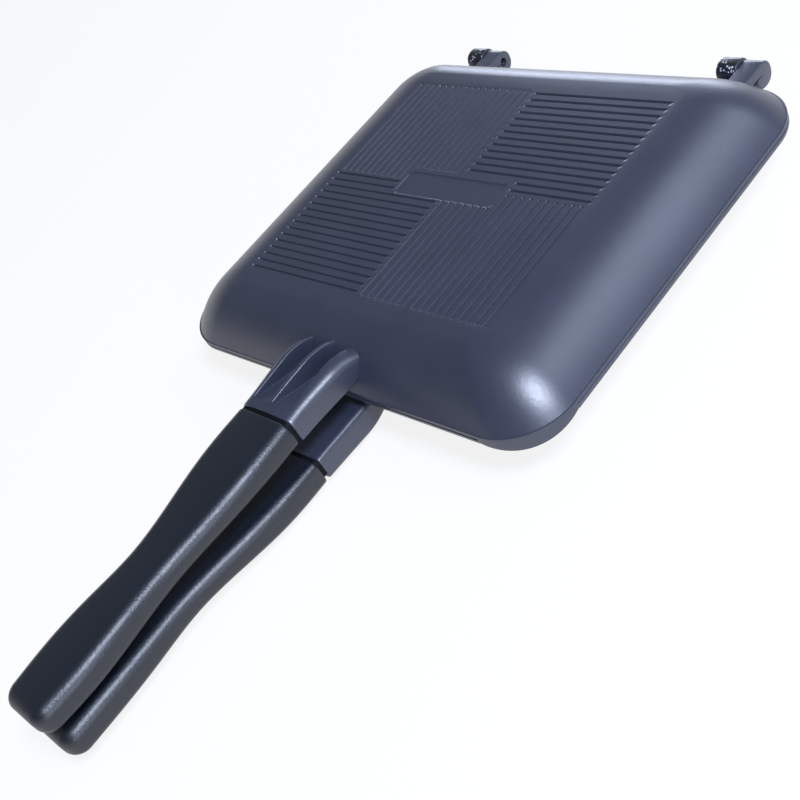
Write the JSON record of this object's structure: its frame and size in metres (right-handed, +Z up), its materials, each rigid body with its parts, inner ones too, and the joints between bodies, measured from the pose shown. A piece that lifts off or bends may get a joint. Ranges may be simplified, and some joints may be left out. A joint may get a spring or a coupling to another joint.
{
  "type": "pie iron",
  "caption": "Flat folding pie iron: cast pans with grooved faces, pinned together at the back, on necks with contoured grips.",
  "frame": {"origin": "centre of the lower pan's flat outer face, which it rests on", "axes": "+X across the pans, +Y from the grips towards the hinge, +Z up"},
  "size_m": [0.21, 0.3692, 0.0412],
  "materials": {
    "cast_coating": "satin",
    "grip_plastic": "matte",
    "spacer_plastic": "matte",
    "steel": "satin",
    "magnet_nickel": "gloss"
  },
  "bodies": {
    "lower_half": {"lower_pan": "cast_coating", "lower_spacer": "spacer_plastic", "lower_tang": "steel", "lower_neck_screw": "steel", "lower_grip": "grip_plastic", "lower_grip_screw": "steel", "lower_magnet": "magnet_nickel", "lower_magnet_cover": "grip_plastic", "left_hinge_pin": "steel"},
    "hinge_slider": {"right_hinge_pin": "steel"},
    "upper_half": {"upper_pan": "cast_coating", "upper_spacer": "spacer_plastic", "upper_tang": "steel", "upper_neck_screw": "steel", "upper_grip": "grip_plastic", "upper_grip_screw": "steel", "upper_magnet": "magnet_nickel", "upper_magnet_cover": "grip_plastic"}
  },
  "joints": [
    {"name": "halves_slide", "type": "slide", "parent": "lower_half", "child": "hinge_slider", "axis": [1, 0, 0], "range_m": [0, 0.012]},
    {"name": "opening", "type": "hinge", "parent": "hinge_slider", "child": "upper_half", "pos_m": [0, 0.104, 0.0206], "axis": [-1, 0, 0], "range_deg": [0, 180]}
  ]
}
